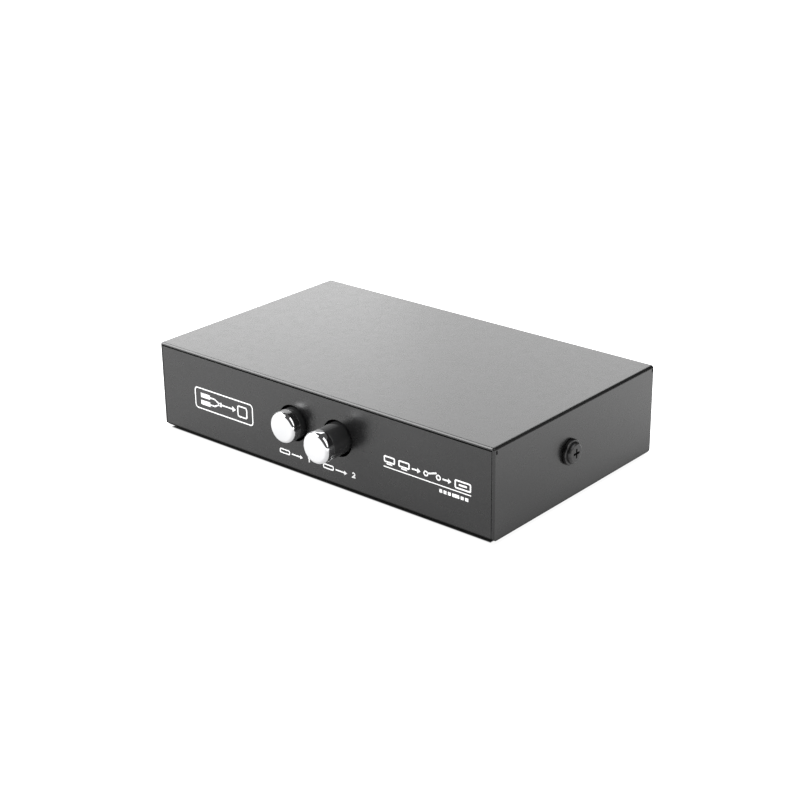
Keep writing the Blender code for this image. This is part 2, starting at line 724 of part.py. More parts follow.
def make_switch_housing(number, x):
    """A moulded housing, open underneath, with a hole at each end for the plunger."""
    low = (x - HOUSING_HALF_WIDTH, HOUSING_Y, AXIS_Z - HOUSING_HALF_HEIGHT)
    end = HOUSING_Y + HOUSING_LENGTH
    high = (x + HOUSING_HALF_WIDTH, end, AXIS_Z + HOUSING_HALF_HEIGHT)
    housing = box(f"switch_housing_{number}", low, high, BLACK_PLASTIC)
    inner = HOUSING_HALF_WIDTH - HOUSING_SIDE
    roof = AXIS_Z + HOUSING_HALF_HEIGHT - HOUSING_ROOF
    low = (x - inner, HOUSING_Y + HOUSING_WALL, AXIS_Z - HOUSING_HALF_HEIGHT - 1 * MM)
    high = (x + inner, end - HOUSING_WALL, roof)
    cut_box(housing, low, high)
    cut_plunger_way(housing, x, HOUSING_Y - 1 * MM, HOUSING_Y + 2 * MM)
    half = PLUNGER_HOLE_HALF
    low = (x - half, end - 2 * MM, AXIS_Z - half)
    high = (x + half, end + 1 * MM, AXIS_Z + half)
    cut_box(housing, low, high)

    low = (x - inner + GAP, HOUSING_Y + HOUSING_WALL + GAP, AXIS_Z - HOUSING_HALF_HEIGHT)
    high = (x + inner - GAP, end - HOUSING_WALL - GAP, low[2] + BASE_THICKNESS)
    box(f"switch_base_{number}", low, high, BROWN_LAMINATE)


def make_plunger(number, x, face_y):
    """The square shaft that a button sits on, with a collar for the spring and a latch catch."""
    front = face_y + STEM_FROM_FACE
    rear = face_y + PLUNGER_FROM_FACE
    half = PLUNGER_HALF
    low = (x - half, front, AXIS_Z - half)
    high = (x + half, rear, AXIS_Z + half)
    plunger = box(f"plunger_{number}", low, high, WHITE_PLASTIC)
    collar_y = face_y + COLLAR_FROM_FACE + COLLAR_THICKNESS / 2
    name = f"plunger_{number}_collar"
    centre = (x, collar_y, AXIS_Z)
    join(plunger, round_cutter(name, centre, COLLAR_RADIUS, COLLAR_THICKNESS, (0, 1, 0), 24))
    catch = face_y + CATCH_FROM_FACE
    low = (x, catch, AXIS_Z - CATCH_RISE)
    high = (x + half + CATCH_HEIGHT, catch + CATCH_LENGTH, AXIS_Z + CATCH_RISE)
    join_box(plunger, low, high)


def make_wiper(number, x, face_y):
    """The sprung contact bridge that rides under the plunger."""
    middle = face_y + WIPER_FROM_FACE
    high = AXIS_Z - PLUNGER_HALF - GAP
    low = high - WIPER_DROP
    places = ((-1.0, low), (-0.75, low), (-0.5, high), (0.5, high), (0.75, low), (1.0, low))
    path = [(middle + share * WIPER_HALF, z) for share, z in places]
    name, wide = f"wiper_{number}", WIPER_HALF_WIDTH
    bent_sheet(name, path, "X", x + wide, x - wide, WIPER_THICKNESS, BRASS)


def make_return_spring(number, x, face_y):
    """A coil between the plunger's collar and the frame. It pushes the button out."""
    start = face_y + COLLAR_FROM_FACE + COLLAR_THICKNESS + FINE_GAP
    end = FRAME_Y - FINE_GAP
    name = f"return_spring_{number}"
    coil(name, (x, start, AXIS_Z), (x, end, AXIS_Z), *RETURN_SPRING, SPRING_STEEL)


def make_latch():
    """The sliding plate that holds one button in until the other is pressed, and its spring."""
    left, right = BUTTONS_X - LATCH_HALF, BUTTONS_X + LATCH_HALF
    low = (left, LATCH_Y, AXIS_Z - LATCH_RISE)
    high = (right, LATCH_Y + LATCH_THICKNESS, AXIS_Z + LATCH_RISE)
    plate = box("latch_plate", low, high, ZINC)
    tab_end = LATCH_Y + LATCH_TAB
    low = (right - LATCH_THICKNESS, LATCH_Y + LATCH_THICKNESS / 2, AXIS_Z - LATCH_TAB_RISE)
    join_box(plate, low, (right, tab_end, AXIS_Z + LATCH_TAB_RISE))
    half = PLUNGER_HOLE_HALF
    reach_left = PLUNGER_HALF + GAP + LATCH_TRAVEL
    reach_right = PLUNGER_HALF + CATCH_HEIGHT + GAP
    for x in BUTTON_X:
        low = (x - reach_left, LATCH_Y - 1 * MM, AXIS_Z - half)
        high = (x + reach_right, LATCH_Y + 2 * MM, AXIS_Z + half)
        cut_box(plate, low, high)
    y = (LATCH_Y + LATCH_THICKNESS + tab_end) / 2
    start = right + FINE_GAP
    end = BUTTONS_X + FRAME_HALF - FRAME_SHEET - FINE_GAP
    coil("latch_spring", (start, y, AXIS_Z), (end, y, AXIS_Z), *LATCH_SPRING, SPRING_STEEL)


# Buttons


def make_button(number, x, face_y):
    """A chromed cap pressed on a black sleeve, which fits the plunger's square end."""
    origin = (x, face_y, AXIS_Z)
    towards_front = (0, -1, 0)
    behind_edge = CAP_RADIUS - CAP_TAPER
    edge = arc((behind_edge - CAP_EDGE, -CAP_EDGE), CAP_EDGE, 90, 0)
    profile = [(0, 0), *edge, (CAP_RADIUS, -CAP_DEPTH)]
    profile += [(CAP_BORE, -CAP_DEPTH), (CAP_BORE, -CAP_SKIN), (0, -CAP_SKIN)]
    turned(f"button_{number}_cap", profile, origin, towards_front, CHROME, 48)

    spigot, front = CAP_BORE - GAP, -CAP_SKIN - GAP
    shoulder = -CAP_DEPTH - FINE_GAP
    profile = [(0, front), (spigot, front), (spigot, shoulder)]
    profile += [(SLEEVE_RADIUS, shoulder), (SLEEVE_RADIUS, -SLEEVE_LENGTH), (0, -SLEEVE_LENGTH)]
    sleeve = turned(f"button_{number}_sleeve", profile, origin, towards_front, BLACK_PLASTIC, 48)
    half = PLUNGER_HALF + GAP
    low = (x - half, face_y + STEM_FROM_FACE - GAP, AXIS_Z - half)
    high = (x + half, face_y + SLEEVE_LENGTH + 1 * MM, AXIS_Z + half)
    cut_box(sleeve, low, high)


def build():
    make_base_chassis()
    make_top_cover()
    make_feet()
    make_side_screws()
    make_circuit_board()
    make_standoffs()
    make_board_screws()
    for number, x in enumerate(USB_B_X, 1):
        make_usb_b_socket(number, x)
    make_usb_a_socket(USB_A_X)
    make_switch_frame()
    make_latch()
    for number, (x, face_y) in enumerate(zip(BUTTON_X, BUTTON_FACE_Y), 1):
        make_switch_housing(number, x)
        make_plunger(number, x, face_y)
        make_wiper(number, x, face_y)
        make_return_spring(number, x, face_y)
        make_button(number, x, face_y)


clear_scene()
PARTS = new_collection("usb_switch")
CUTTERS = new_collection("cutters")
build()
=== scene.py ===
"""The looks of a two-way USB sharing switch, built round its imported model.

Metres, in the model's frame: +Z up, the front panel faces -Y. The pieces' places come from the model's
own boxes, and their smaller shapes from the sizes given here.
"""

import json
import math

import bmesh
import bpy
from mathutils import Matrix, Vector


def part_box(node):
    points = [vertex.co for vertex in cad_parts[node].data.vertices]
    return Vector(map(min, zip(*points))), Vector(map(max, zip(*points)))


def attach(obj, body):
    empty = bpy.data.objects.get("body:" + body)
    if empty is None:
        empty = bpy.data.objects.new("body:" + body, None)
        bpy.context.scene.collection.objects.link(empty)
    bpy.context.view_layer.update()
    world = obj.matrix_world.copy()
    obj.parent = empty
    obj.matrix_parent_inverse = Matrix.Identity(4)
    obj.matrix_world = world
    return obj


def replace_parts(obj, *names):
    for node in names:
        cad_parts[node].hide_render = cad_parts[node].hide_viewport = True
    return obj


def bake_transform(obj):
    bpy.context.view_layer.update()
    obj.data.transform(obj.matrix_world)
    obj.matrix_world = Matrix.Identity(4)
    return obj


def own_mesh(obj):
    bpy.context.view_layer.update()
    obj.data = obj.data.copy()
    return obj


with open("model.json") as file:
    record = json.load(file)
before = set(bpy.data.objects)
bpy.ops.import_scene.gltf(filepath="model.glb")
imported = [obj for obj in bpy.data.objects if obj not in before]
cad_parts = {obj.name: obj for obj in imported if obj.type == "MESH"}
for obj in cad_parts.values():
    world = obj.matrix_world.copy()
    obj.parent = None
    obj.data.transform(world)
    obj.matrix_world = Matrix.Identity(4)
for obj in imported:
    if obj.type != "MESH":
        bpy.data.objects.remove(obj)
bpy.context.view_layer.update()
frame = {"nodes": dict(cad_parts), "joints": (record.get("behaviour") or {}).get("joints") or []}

MM = 0.001
TINY = 0.001 * MM
NUMBERS = (1, 2)
CAP_EDGE_DEPTH = 1.2  # depth of the rounded edge of a cap as a share of its width


# Places read from the model


def low(node):
    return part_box(node)[0]


def high(node):
    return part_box(node)[1]


def middle(node):
    return (low(node) + high(node)) / 2


FRONT = low("base_chassis").y
REAR = high("base_chassis").y
CASE_LOW = low("base_chassis").z
CASE_HIGH = high("top_cover").z
HALF_WIDTH = high("top_cover").x
SHEET = 0.8 * MM  # thickness of the case's two sheets
COVER_BEND = 0.9 * MM
SLIT_FROM_EDGE = (0.6 * MM, 1.15 * MM)
SLIT_BELOW_TOP = (0.8 * MM, 1.8 * MM)
BOARD_LOW = low("circuit_board").z
BOARD_HIGH = high("circuit_board").z
SWITCH_AXIS_Z = middle("button_1_cap").z


# Materials


class Surface:
    """A Principled material whose colour, roughness and bump follow patterns in the solid."""

    def __init__(self, name, colour, roughness, metallic=0.0, **sockets):
        self.material = bpy.data.materials.new(name)
        self.material.use_nodes = True
        self.tree = self.material.node_tree
        self.shader = self.tree.nodes["Principled BSDF"]
        self.place = self.tree.nodes.new("ShaderNodeTexCoord").outputs["Object"]
        self.colour = (*colour, 1.0)
        self.set("Base Color", self.colour)
        self.set("Roughness", roughness)
        self.set("Metallic", metallic)
        for socket, value in sockets.items():
            self.set(socket.replace("_", " "), value)
        LOOKS[name] = self.material

    def set(self, socket, value):
        self.shader.inputs[socket].default_value = value

    def node(self, kind, **inputs):
        made = self.tree.nodes.new(kind)
        for socket, value in inputs.items():
            target = made.inputs[socket.replace("_", " ")]
            if isinstance(value, bpy.types.NodeSocket):
                self.tree.links.new(value, target)
            else:
                target.default_value = value
        return made

    def noise(self, size, detail=2.0, stretch=(1.0, 1.0, 1.0)):
        """Cloudy noise whose features are about this size, and longer along a stretched axis."""
        scale = [1 / (size * reach) for reach in stretch]
        placed = self.node("ShaderNodeMapping", Vector=self.place, Scale=scale)
        return self.node(
            "ShaderNodeTexNoise", Vector=placed.outputs["Vector"], Scale=1.0, Detail=detail
        ).outputs["Fac"]

    def cells(self, size):
        """Irregular grains of about this size."""
        scale = [1 / size] * 3
        placed = self.node("ShaderNodeMapping", Vector=self.place, Scale=scale)
        return self.node(
            "ShaderNodeTexVoronoi", Vector=placed.outputs["Vector"], Scale=1.0
        ).outputs["Distance"]

    def spread(self, pattern, lowest, highest, start=0.3, end=0.7):
        """Maps a pattern's middle range on to a range of values."""
        limits = {"From Min": start, "From Max": end, "To Min": lowest, "To Max": highest}
        return self.node("ShaderNodeMapRange", Value=pattern, **limits).outputs["Result"]

    def tint(self, pattern, other, start=0.3, end=0.7):
        """Varies the colour towards another one."""
        mix = self.tree.nodes.new("ShaderNodeMix")
        mix.data_type = "RGBA"
        factor, first, second = mix.inputs["Factor"], mix.inputs[6], mix.inputs[7]
        self.tree.links.new(self.spread(pattern, 0.0, 1.0, start, end), factor)
        first.default_value = self.colour
        second.default_value = (*other, 1.0)
        self.tree.links.new(mix.outputs[2], self.shader.inputs["Base Color"])

    def math(self, operation, *values):
        made = self.tree.nodes.new("ShaderNodeMath")
        made.operation = operation
        for value, target in zip(values, made.inputs):
            if isinstance(value, bpy.types.NodeSocket):
                self.tree.links.new(value, target)
            else:
                target.default_value = value
        return made.outputs["Value"]

    def rough(self, pattern, lowest, highest):
        result = self.spread(pattern, lowest, highest)
        self.tree.links.new(result, self.shader.inputs["Roughness"])

    def bump(self, pattern, depth, strength=1.0):
        """Adds relief of this depth in metres to any there already."""
        relief = self.node("ShaderNodeBump", Height=pattern, Strength=strength, Distance=depth)
        normal = self.shader.inputs["Normal"]
        if normal.is_linked:
            self.tree.links.new(normal.links[0].from_socket, relief.inputs["Normal"])
        self.tree.links.new(relief.outputs["Normal"], normal)


LOOKS = {}


def make_paints():
    """Satin black stoving paint on the folded sheets."""
    paint = Surface("case_paint", (0.0042, 0.0042, 0.0044), 0.26)
    paint.rough(paint.noise(2.2 * MM, 3.0), 0.25, 0.28)
    paint.tint(paint.noise(9 * MM), (0.0055, 0.0055, 0.0057))
    paint.bump(paint.noise(1.1 * MM), 0.002 * MM)
    paint.bump(paint.noise(0.22 * MM, 1.0), 0.0012 * MM)


def make_plastics():
    glossy = Surface("black_plastic", (0.024, 0.024, 0.0245), 0.17)
    glossy.rough(glossy.noise(1.6 * MM, 4.0), 0.1, 0.17)
    glossy.tint(glossy.noise(4 * MM), (0.029, 0.029, 0.0295))
    glossy.bump(glossy.noise(0.9 * MM), 0.003 * MM)

    moulded = Surface("socket_plastic", (0.011, 0.011, 0.012), 0.45)
    moulded.rough(moulded.noise(0.8 * MM, 4.0), 0.38, 0.5)
    moulded.tint(moulded.noise(2.5 * MM), (0.018, 0.018, 0.02))
    moulded.bump(moulded.noise(0.12 * MM), 0.004 * MM)

    white = Surface("white_plastic", (0.7, 0.69, 0.64), 0.4)
    white.rough(white.noise(1.2 * MM, 4.0), 0.33, 0.47)
    white.tint(white.noise(4 * MM), (0.64, 0.62, 0.55))
    white.bump(white.noise(0.2 * MM), 0.003 * MM)


def make_metals():
    chrome = Surface("chrome", (0.61, 0.615, 0.625), 0.07, 1.0)
    chrome.rough(chrome.noise(2.2 * MM, 5.0), 0.05, 0.1)
    chrome.tint(chrome.noise(5 * MM), (0.64, 0.64, 0.645))
    chrome.bump(chrome.noise(2.8 * MM), 0.0015 * MM)

    screw = Surface("black_screw", (0.03, 0.03, 0.032), 0.3, 0.85)
    screw.rough(screw.noise(0.5 * MM, 4.0), 0.24, 0.42)
    screw.tint(screw.noise(0.7 * MM, 3.0), (0.055, 0.054, 0.053))
    screw.bump(screw.noise(0.16 * MM), 0.004 * MM)

    zinc = Surface("zinc", (0.6, 0.61, 0.62), 0.32, 1.0)
    zinc.rough(zinc.noise(0.7 * MM, 4.0), 0.26, 0.42)
    zinc.tint(zinc.noise(2.4 * MM, 3.0), (0.7, 0.69, 0.62))
    zinc.bump(zinc.noise(0.12 * MM, 2.0, (1, 1, 6)), 0.002 * MM)

    nickel = Surface("nickel", (0.66, 0.65, 0.62), 0.26, 1.0)
    nickel.rough(nickel.noise(0.5 * MM, 4.0, (1, 8, 1)), 0.26, 0.31)
    nickel.tint(nickel.noise(3.5 * MM), (0.6, 0.59, 0.55))
    nickel.bump(nickel.noise(0.06 * MM, 2.0, (1, 14, 1)), 0.0003 * MM)

    brass = Surface("brass", (0.72, 0.53, 0.25), 0.28, 1.0)
    brass.rough(brass.noise(0.4 * MM, 4.0), 0.22, 0.38)
    brass.tint(brass.noise(1.8 * MM), (0.62, 0.43, 0.18))
    brass.bump(brass.noise(0.1 * MM, 2.0, (8, 8, 1)), 0.002 * MM)

    gilt = Surface("gilt", (0.86, 0.62, 0.26), 0.2, 1.0)
    gilt.rough(gilt.noise(0.3 * MM, 4.0), 0.15, 0.3)
    gilt.tint(gilt.noise(0.9 * MM), (0.78, 0.52, 0.2))
    gilt.bump(gilt.noise(0.08 * MM), 0.001 * MM)

    steel = Surface("spring_steel", (0.42, 0.41, 0.4), 0.28, 1.0)
    steel.rough(steel.noise(0.3 * MM, 4.0), 0.22, 0.4)
    steel.tint(steel.noise(1.1 * MM), (0.32, 0.29, 0.25))
    steel.bump(steel.noise(0.07 * MM), 0.001 * MM)

    solder = Surface("solder", (0.72, 0.73, 0.75), 0.22, 1.0)
    solder.rough(solder.noise(0.35 * MM, 4.0), 0.15, 0.42)
    solder.tint(solder.noise(0.5 * MM), (0.55, 0.56, 0.58))
    solder.bump(solder.noise(0.3 * MM), 0.01 * MM)


def make_board_looks():
    """Solder mask over woven laminate, the copper under it, the print on it, and paper laminate."""
    mask = Surface("board", (0.012, 0.1, 0.035), 0.32)
    mask.rough(mask.noise(0.9 * MM, 3.0), 0.26, 0.4)
    mask.tint(mask.noise(0.45 * MM, 2.0, (6, 1, 1)), (0.017, 0.13, 0.05))
    mask.bump(mask.noise(0.4 * MM, 1.0, (5, 1, 1)), 0.004 * MM)
    mask.bump(mask.noise(0.4 * MM, 1.0, (1, 5, 1)), 0.004 * MM)

    track = Surface("mask_over_copper", (0.03, 0.2, 0.07), 0.3)
    track.rough(track.noise(0.7 * MM, 3.0), 0.24, 0.38)
    track.tint(track.noise(1.4 * MM), (0.045, 0.24, 0.08))
    track.bump(track.noise(0.2 * MM), 0.003 * MM)

    laminate = Surface("laminate", (0.2, 0.095, 0.04), 0.5)
    laminate.rough(laminate.noise(0.6 * MM, 4.0), 0.42, 0.6)
    laminate.tint(laminate.noise(0.5 * MM, 4.0, (1, 7, 1)), (0.13, 0.06, 0.026))
    laminate.bump(laminate.noise(0.1 * MM, 2.0, (1, 7, 1)), 0.004 * MM)

    ink = Surface("white_ink", (0.74, 0.74, 0.74), 0.5)
    ink.rough(ink.noise(0.5 * MM, 4.0), 0.42, 0.58)
    ink.tint(ink.noise(0.35 * MM, 3.0), (0.66, 0.66, 0.66))
    ink.bump(ink.noise(0.12 * MM), 0.003 * MM)

    rubber = Surface("rubber", (0.014, 0.014, 0.014), 0.85)
    rubber.rough(rubber.noise(0.6 * MM, 4.0), 0.75, 0.92)
    rubber.tint(rubber.noise(1.5 * MM, 4.0), (0.024, 0.024, 0.023))
    rubber.bump(rubber.cells(0.3 * MM), 0.02 * MM)


# Mesh tools


def piece(name, bm, look, body="case", smooth=35):
    """Makes an object of one material from a bmesh, and lets it ride on a body."""
    bmesh.ops.recalc_face_normals(bm, faces=bm.faces)
    data = bpy.data.meshes.new(name)
    bm.to_mesh(data)
    bm.free()
    data.shade_smooth()
    data.set_sharp_from_angle(angle=math.radians(smooth))
    made = bpy.data.objects.new(name, data)
    bpy.context.scene.collection.objects.link(made)
    data.materials.append(LOOKS[look])
    if body:
        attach(made, body)
    return made


def soften(made, width, segments=3):
    bevel = made.modifiers.new("soft edges", "BEVEL")
    bevel.limit_method = "ANGLE"
    bevel.angle_limit = math.radians(40)
    bevel.width = width
    bevel.segments = segments
    keep_flat(made)
    return made


def keep_flat(made):
    """Shades the flat faces flat, and leaves the bends to the rounded edges."""
    made.modifiers.new("flat faces", "WEIGHTED_NORMAL").keep_sharp = True


def node_solid(node):
    """A CAD node's solid, with its flat faces whole again."""
    bm = bmesh.new()
    bm.from_mesh(frame["nodes"][node].data)
    bmesh.ops.remove_doubles(bm, verts=bm.verts, dist=TINY)
    bmesh.ops.dissolve_limit(
        bm, angle_limit=math.radians(0.5), verts=bm.verts, edges=bm.edges
    )
    return bm


def refine(node, look, edge, body="case", segments=2):
    """A finer piece in a CAD node's place, with its edges rounded."""
    made = soften(piece(f"{node}_finished", node_solid(node), look, body), edge, segments)
    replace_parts(made, node)
    return made


def rounded(points, steps=6):
    """An open path in a plane. A third number in a point is the radius that rounds its corner."""
    path = []
    for i, point in enumerate(points):
        here = Vector(point[:2])
        if len(point) == 2:
            path.append(here)
            continue
        radius = point[2]
        back = (Vector(points[i - 1][:2]) - here).normalized()
        onward = (Vector(points[(i + 1) % len(points)][:2]) - here).normalized()
        half = back.angle(onward) / 2
        centre = here + (back + onward).normalized() * radius / math.sin(half)
        first = here + back * radius / math.tan(half) - centre
        last = here + onward * radius / math.tan(half) - centre
        start = math.atan2(first.y, first.x)
        turn = (math.atan2(last.y, last.x) - start + math.pi) % math.tau - math.pi
        for k in range(steps + 1):
            angle = start + turn * k / steps
            path.append(centre + radius * Vector((math.cos(angle), math.sin(angle))))
    return path


def arc(centre, radius, start, end, steps=12, tall=1.0):
    """Points on a circle in a plane, from one angle in degrees to another. A tall one is an ellipse."""
    angles = [math.radians(start + (end - start) * k / steps) for k in range(steps + 1)]
    return [
        Vector((centre[0] + radius * math.cos(a), centre[1] + radius * tall * math.sin(a)))
        for a in angles
    ]


def facing(axis):
    return Vector(axis).to_track_quat("Z", "Y").to_matrix().to_4x4()


def lathe(profile, place, axis=(0, 0, 1), steps=96, thread=None):
    """A turned solid. The profile is (radius, height), starting and ending on the axis.

    A thread is (start, end, pitch, depth): it cuts a helix into what is turned between two heights.
    """
    bm = bmesh.new()
    rings = []
    for radius, height in profile:
        if radius < TINY:
            rings.append([bm.verts.new((0, 0, height))])
            continue
        ring = []
        for i in range(steps):
            angle = math.tau * i / steps
            reach = radius - thread_depth(thread, height, angle)
            ring.append(bm.verts.new((reach * math.cos(angle), reach * math.sin(angle), height)))
        rings.append(ring)
    for upper, lower in zip(rings, rings[1:]):
        for i in range(steps):
            corners = [upper[i % len(upper)], upper[(i + 1) % len(upper)]]
            corners += [lower[(i + 1) % len(lower)], lower[i % len(lower)]]
            bm.faces.new(list(dict.fromkeys(corners)))
    bmesh.ops.transform(bm, matrix=Matrix.Translation(place) @ facing(axis), verts=bm.verts)
    return bm


def thread_depth(thread, height, angle):
    if thread is None:
        return 0.0
    start, end, pitch, depth = thread
    inside = min(height - start, end - height)
    if inside <= 0:
        return 0.0
    phase = (height / pitch - angle / math.tau) % 1.0
    return depth * abs(2 * phase - 1) * min(1.0, inside / pitch)


def threaded_run(radius, start, end, pitch):
    """The points of a straight run of a profile that is fine enough to carry a thread."""
    count = round(abs(end - start) / pitch * 8)
    return [Vector((radius, start + (end - start) * k / count)) for k in range(count + 1)]


def extrude(bm, faces, reach):
    drawn = bmesh.ops.extrude_face_region(bm, geom=faces)
    moved = [item for item in drawn["geom"] if isinstance(item, bmesh.types.BMVert)]
    bmesh.ops.translate(bm, vec=reach, verts=moved)


def block(bm, lowest, highest):
    """Adds a box between two corners."""
    lowest, highest = Vector(lowest), Vector(highest)
    made = bmesh.ops.create_cube(bm, size=1.0)["verts"]
    bmesh.ops.scale(bm, vec=highest - lowest, verts=made)
    bmesh.ops.translate(bm, vec=(lowest + highest) / 2, verts=made)


def cutter(name, bm):
    """A helper for a Boolean. It isn't rendered, and belongs to the stage."""
    bmesh.ops.recalc_face_normals(bm, faces=bm.faces)
    data = bpy.data.meshes.new(name)
    bm.to_mesh(data)
    bm.free()
    made = bpy.data.objects.new(name, data)
    bpy.context.scene.collection.objects.link(made)
    made.hide_render = True
    made.display_type = "WIRE"
    return made


def cut(made, name, bm):
    boolean = made.modifiers.new(name, "BOOLEAN")
    boolean.operation = "DIFFERENCE"
    boolean.solver = "EXACT"
    boolean.object = cutter(name, bm)


def gather(solids):
    """Several solids in one mesh."""
    whole = bmesh.new()
    for bm in solids:
        data = bpy.data.meshes.new("part")
        bmesh.ops.recalc_face_normals(bm, faces=bm.faces)
        bm.to_mesh(data)
        bm.free()
        whole.from_mesh(data)
        bpy.data.meshes.remove(data)
    return whole


def prism(outline, start, end):
    """A closed outline in (y, z), drawn out along X."""
    bm = bmesh.new()
    face = bm.faces.new([bm.verts.new((start, y, z)) for y, z in outline])
    extrude(bm, [face], (end - start, 0, 0))
    return bm


def coil(start, end, radius, wire, turns, steps=28, sides=10):
    """A coil spring between two points, with a closed turn at each end."""
    start, end = Vector(start), Vector(end)
    count = turns * steps
    closed = 1.1 * wire
    free = (end - start).length - wire - 2 * closed
    bm = bmesh.new()
    rings = []
    for i in range(count + 1):
        angle = math.tau * i / steps
        outward = Vector((math.cos(angle), math.sin(angle), 0))
        share = min(max((i - steps) / (count - 2 * steps), 0.0), 1.0)
        height = wire / 2 + free * share
        height += closed * (min(i, steps) + max(i - count + steps, 0)) / steps
        centre = outward * radius + Vector((0, 0, height))
        around = [math.tau * k / sides for k in range(sides)]
        rings.append([
            bm.verts.new(centre + wire / 2 * (math.cos(a) * outward + Vector((0, 0, math.sin(a)))))
            for a in around
        ])
    for near, far in zip(rings, rings[1:]):
        for k in range(sides):
            following = (k + 1) % sides
            bm.faces.new((near[k], near[following], far[following], far[k]))
    bm.faces.new(rings[0])
    bm.faces.new(rings[-1])
    place = Matrix.Translation(start) @ facing(end - start)
    bmesh.ops.transform(bm, matrix=place, verts=bm.verts)
    return bm


class Overlay:
    """Thin flat shapes on a face, such as print on a panel or tracks on a board.

    Their places are millimetres to the right of a corner and up from it, seen from outside.
    """

    def __init__(self, corner, right, up):
        self.bm = bmesh.new()
        self.corner, self.right, self.up = Vector(corner), Vector(right), Vector(up)
        self.out = self.right.cross(self.up)
        self.lift = 0.002 * MM
        self.thickness = 0.033 * MM

    def point(self, place):
        across, height = place
        spot = self.corner + (self.right * across + self.up * height) * MM
        return self.bm.verts.new(spot + self.out * self.lift)

    def shape(self, outline):
        face = self.bm.faces.new([self.point(place) for place in outline])
        extrude(self.bm, [face], self.out * self.thickness)

    def bar(self, left, low, right, high):
        self.shape([(left, low), (right, low), (right, high), (left, high)])

    def dot(self, centre, radius):
        self.shape(arc(centre, radius, 0, 345, 23))

    def line(self, path, width, closed=False):
        """A stroke with mitred corners."""
        path = [Vector(place[:2]) for place in path]
        edges = []
        for i, here in enumerate(path):
            onward = (path[(i + 1) % len(path)] - here).normalized()
            back = (here - path[i - 1]).normalized()
            if not closed and i == 0:
                back = onward
            if not closed and i == len(path) - 1:
                onward = back
            along = (back + onward).normalized()
            reach = along.orthogonal() * width / 2 / along.dot(back)
            edges.append((self.point(here + reach), self.point(here - reach)))
        pairs = list(zip(edges, edges[1:]))
        if closed:
            pairs.append((edges[-1], edges[0]))
        faces = [self.bm.faces.new((a[0], b[0], b[1], a[1])) for a, b in pairs]
        extrude(self.bm, faces, self.out * self.thickness)

    def frame(self, left, low, right, high, width, radius=0.3):
        corners = [(left, low), (right, low), (right, high), (left, high)]
        self.line(rounded([(*corner, radius) for corner in corners], 5), width, True)

    def ring(self, centre, radius, width):
        self.line(arc(centre, radius, 0, 345, 23), width, True)

    def arrow(self, tail, tip, height, width, half=0.75):
        """A level arrow. Its head is as long as it is half high."""
        head = math.copysign(1.5 * half, tip - tail)
        self.line([(tail, height), (tip - head, height)], width)
        self.shape([(tip - head, height - half), (tip, height), (tip - head, height + half)])

    def digit(self, number, left, low, height, width):
        """A one or a two."""
        if number == 1:
            self.line(
                [(left + 0.1 * height, low + 0.72 * height), (left + 0.36 * height, low + 0.95 * height),
                 (left + 0.36 * height, low)], width,
            )
            return
        bowl = arc((left + 0.33 * height, low + 0.68 * height), 0.27 * height, 165, -25, 8)
        foot = [(left + 0.08 * height, low + width / 2), (left + 0.68 * height, low + width / 2)]
        self.line(bowl + foot, width)

    def finish(self, name, look, body="case"):
        return piece(name, self.bm, look, body, 30)


# Case


def make_chassis():
    refine("base_chassis", "case_paint", 0.12 * MM, segments=3)


def make_cover():
    """Top and sides in one folded sheet, whose sheared edges are blunted under the paint."""
    lowest = low("top_cover").z
    bm = bmesh.new()
    rings = []
    for spot, outward in cover_stations(lowest):
        ring = [(spot - outward * sunk, y) for y, sunk in edge_section()]
        rings.append([bm.verts.new((place.x, y, place.y)) for place, y in ring])
    for near, far in zip(rings, rings[1:]):
        for i in range(len(near)):
            bm.faces.new((near[i - 1], near[i], far[i], far[i - 1]))
    bm.faces.new(rings[0])
    bm.faces.new(rings[-1])
    cover = piece("cover_sheet", bm, "case_paint", None)
    for side in (-1, 1):
        hole = (side * HALF_WIDTH, middle("side_screw_right").y, middle("side_screw_right").z)
        cut(cover, f"screw_hole_{side + 1}", lathe(
            [(0, 2 * SHEET), (1.7 * MM, 2 * SHEET), (1.7 * MM, -2 * SHEET), (0, -2 * SHEET)],
            hole, (1, 0, 0), 48,
        ))
        for end, back in ((FRONT, 1), (REAR, -1)):
            corner_cut(cover, side, end, back, lowest)
            relief_slit(cover, side, end, back)
    keep_flat(cover)
    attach(cover, "case")
    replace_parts(cover, "top_cover")


def cover_stations(lowest):
    """Points along the fold, in (x, z), each with the direction that faces out."""
    reach = HALF_WIDTH - COVER_BEND
    stations = [(Vector((HALF_WIDTH, lowest)), Vector((1, 0)))]
    for centre, start in ((reach, 0), (-reach, 90)):
        for outward in arc((0, 0), 1, start, start + 90):
            spot = Vector((centre, CASE_HIGH - COVER_BEND)) + COVER_BEND * outward
            stations.append((spot, outward))
    stations.append((Vector((-HALF_WIDTH, lowest)), Vector((-1, 0))))
    return stations


def edge_section():
    """The sheet's section, in (y, depth below its outer surface)."""
    back, down, radius, lower = 0.24 * MM, 0.4 * MM, 0.3 * MM, 0.12 * MM
    return rounded([
        (FRONT + back, 0, radius),
        (FRONT, down, radius),
        (FRONT, SHEET, lower),
        (REAR, SHEET, lower),
        (REAR, down, radius),
        (REAR - back, 0, radius),
    ])


def relief_slit(cover, side, end, back):
    """Cuts the short slit through one side, close under the top and to the front or rear edge."""
    near, far = sorted(end + back * distance for distance in SLIT_FROM_EDGE)
    upper, lower = (CASE_HIGH - distance for distance in SLIT_BELOW_TOP)
    x, half = side * HALF_WIDTH, 2 * MM
    bm = bmesh.new()
    block(bm, (x - half, near, lower), (x + half, far, upper))
    cut(cover, f"relief_slit_{side + 1}_{back + 1}", bm)


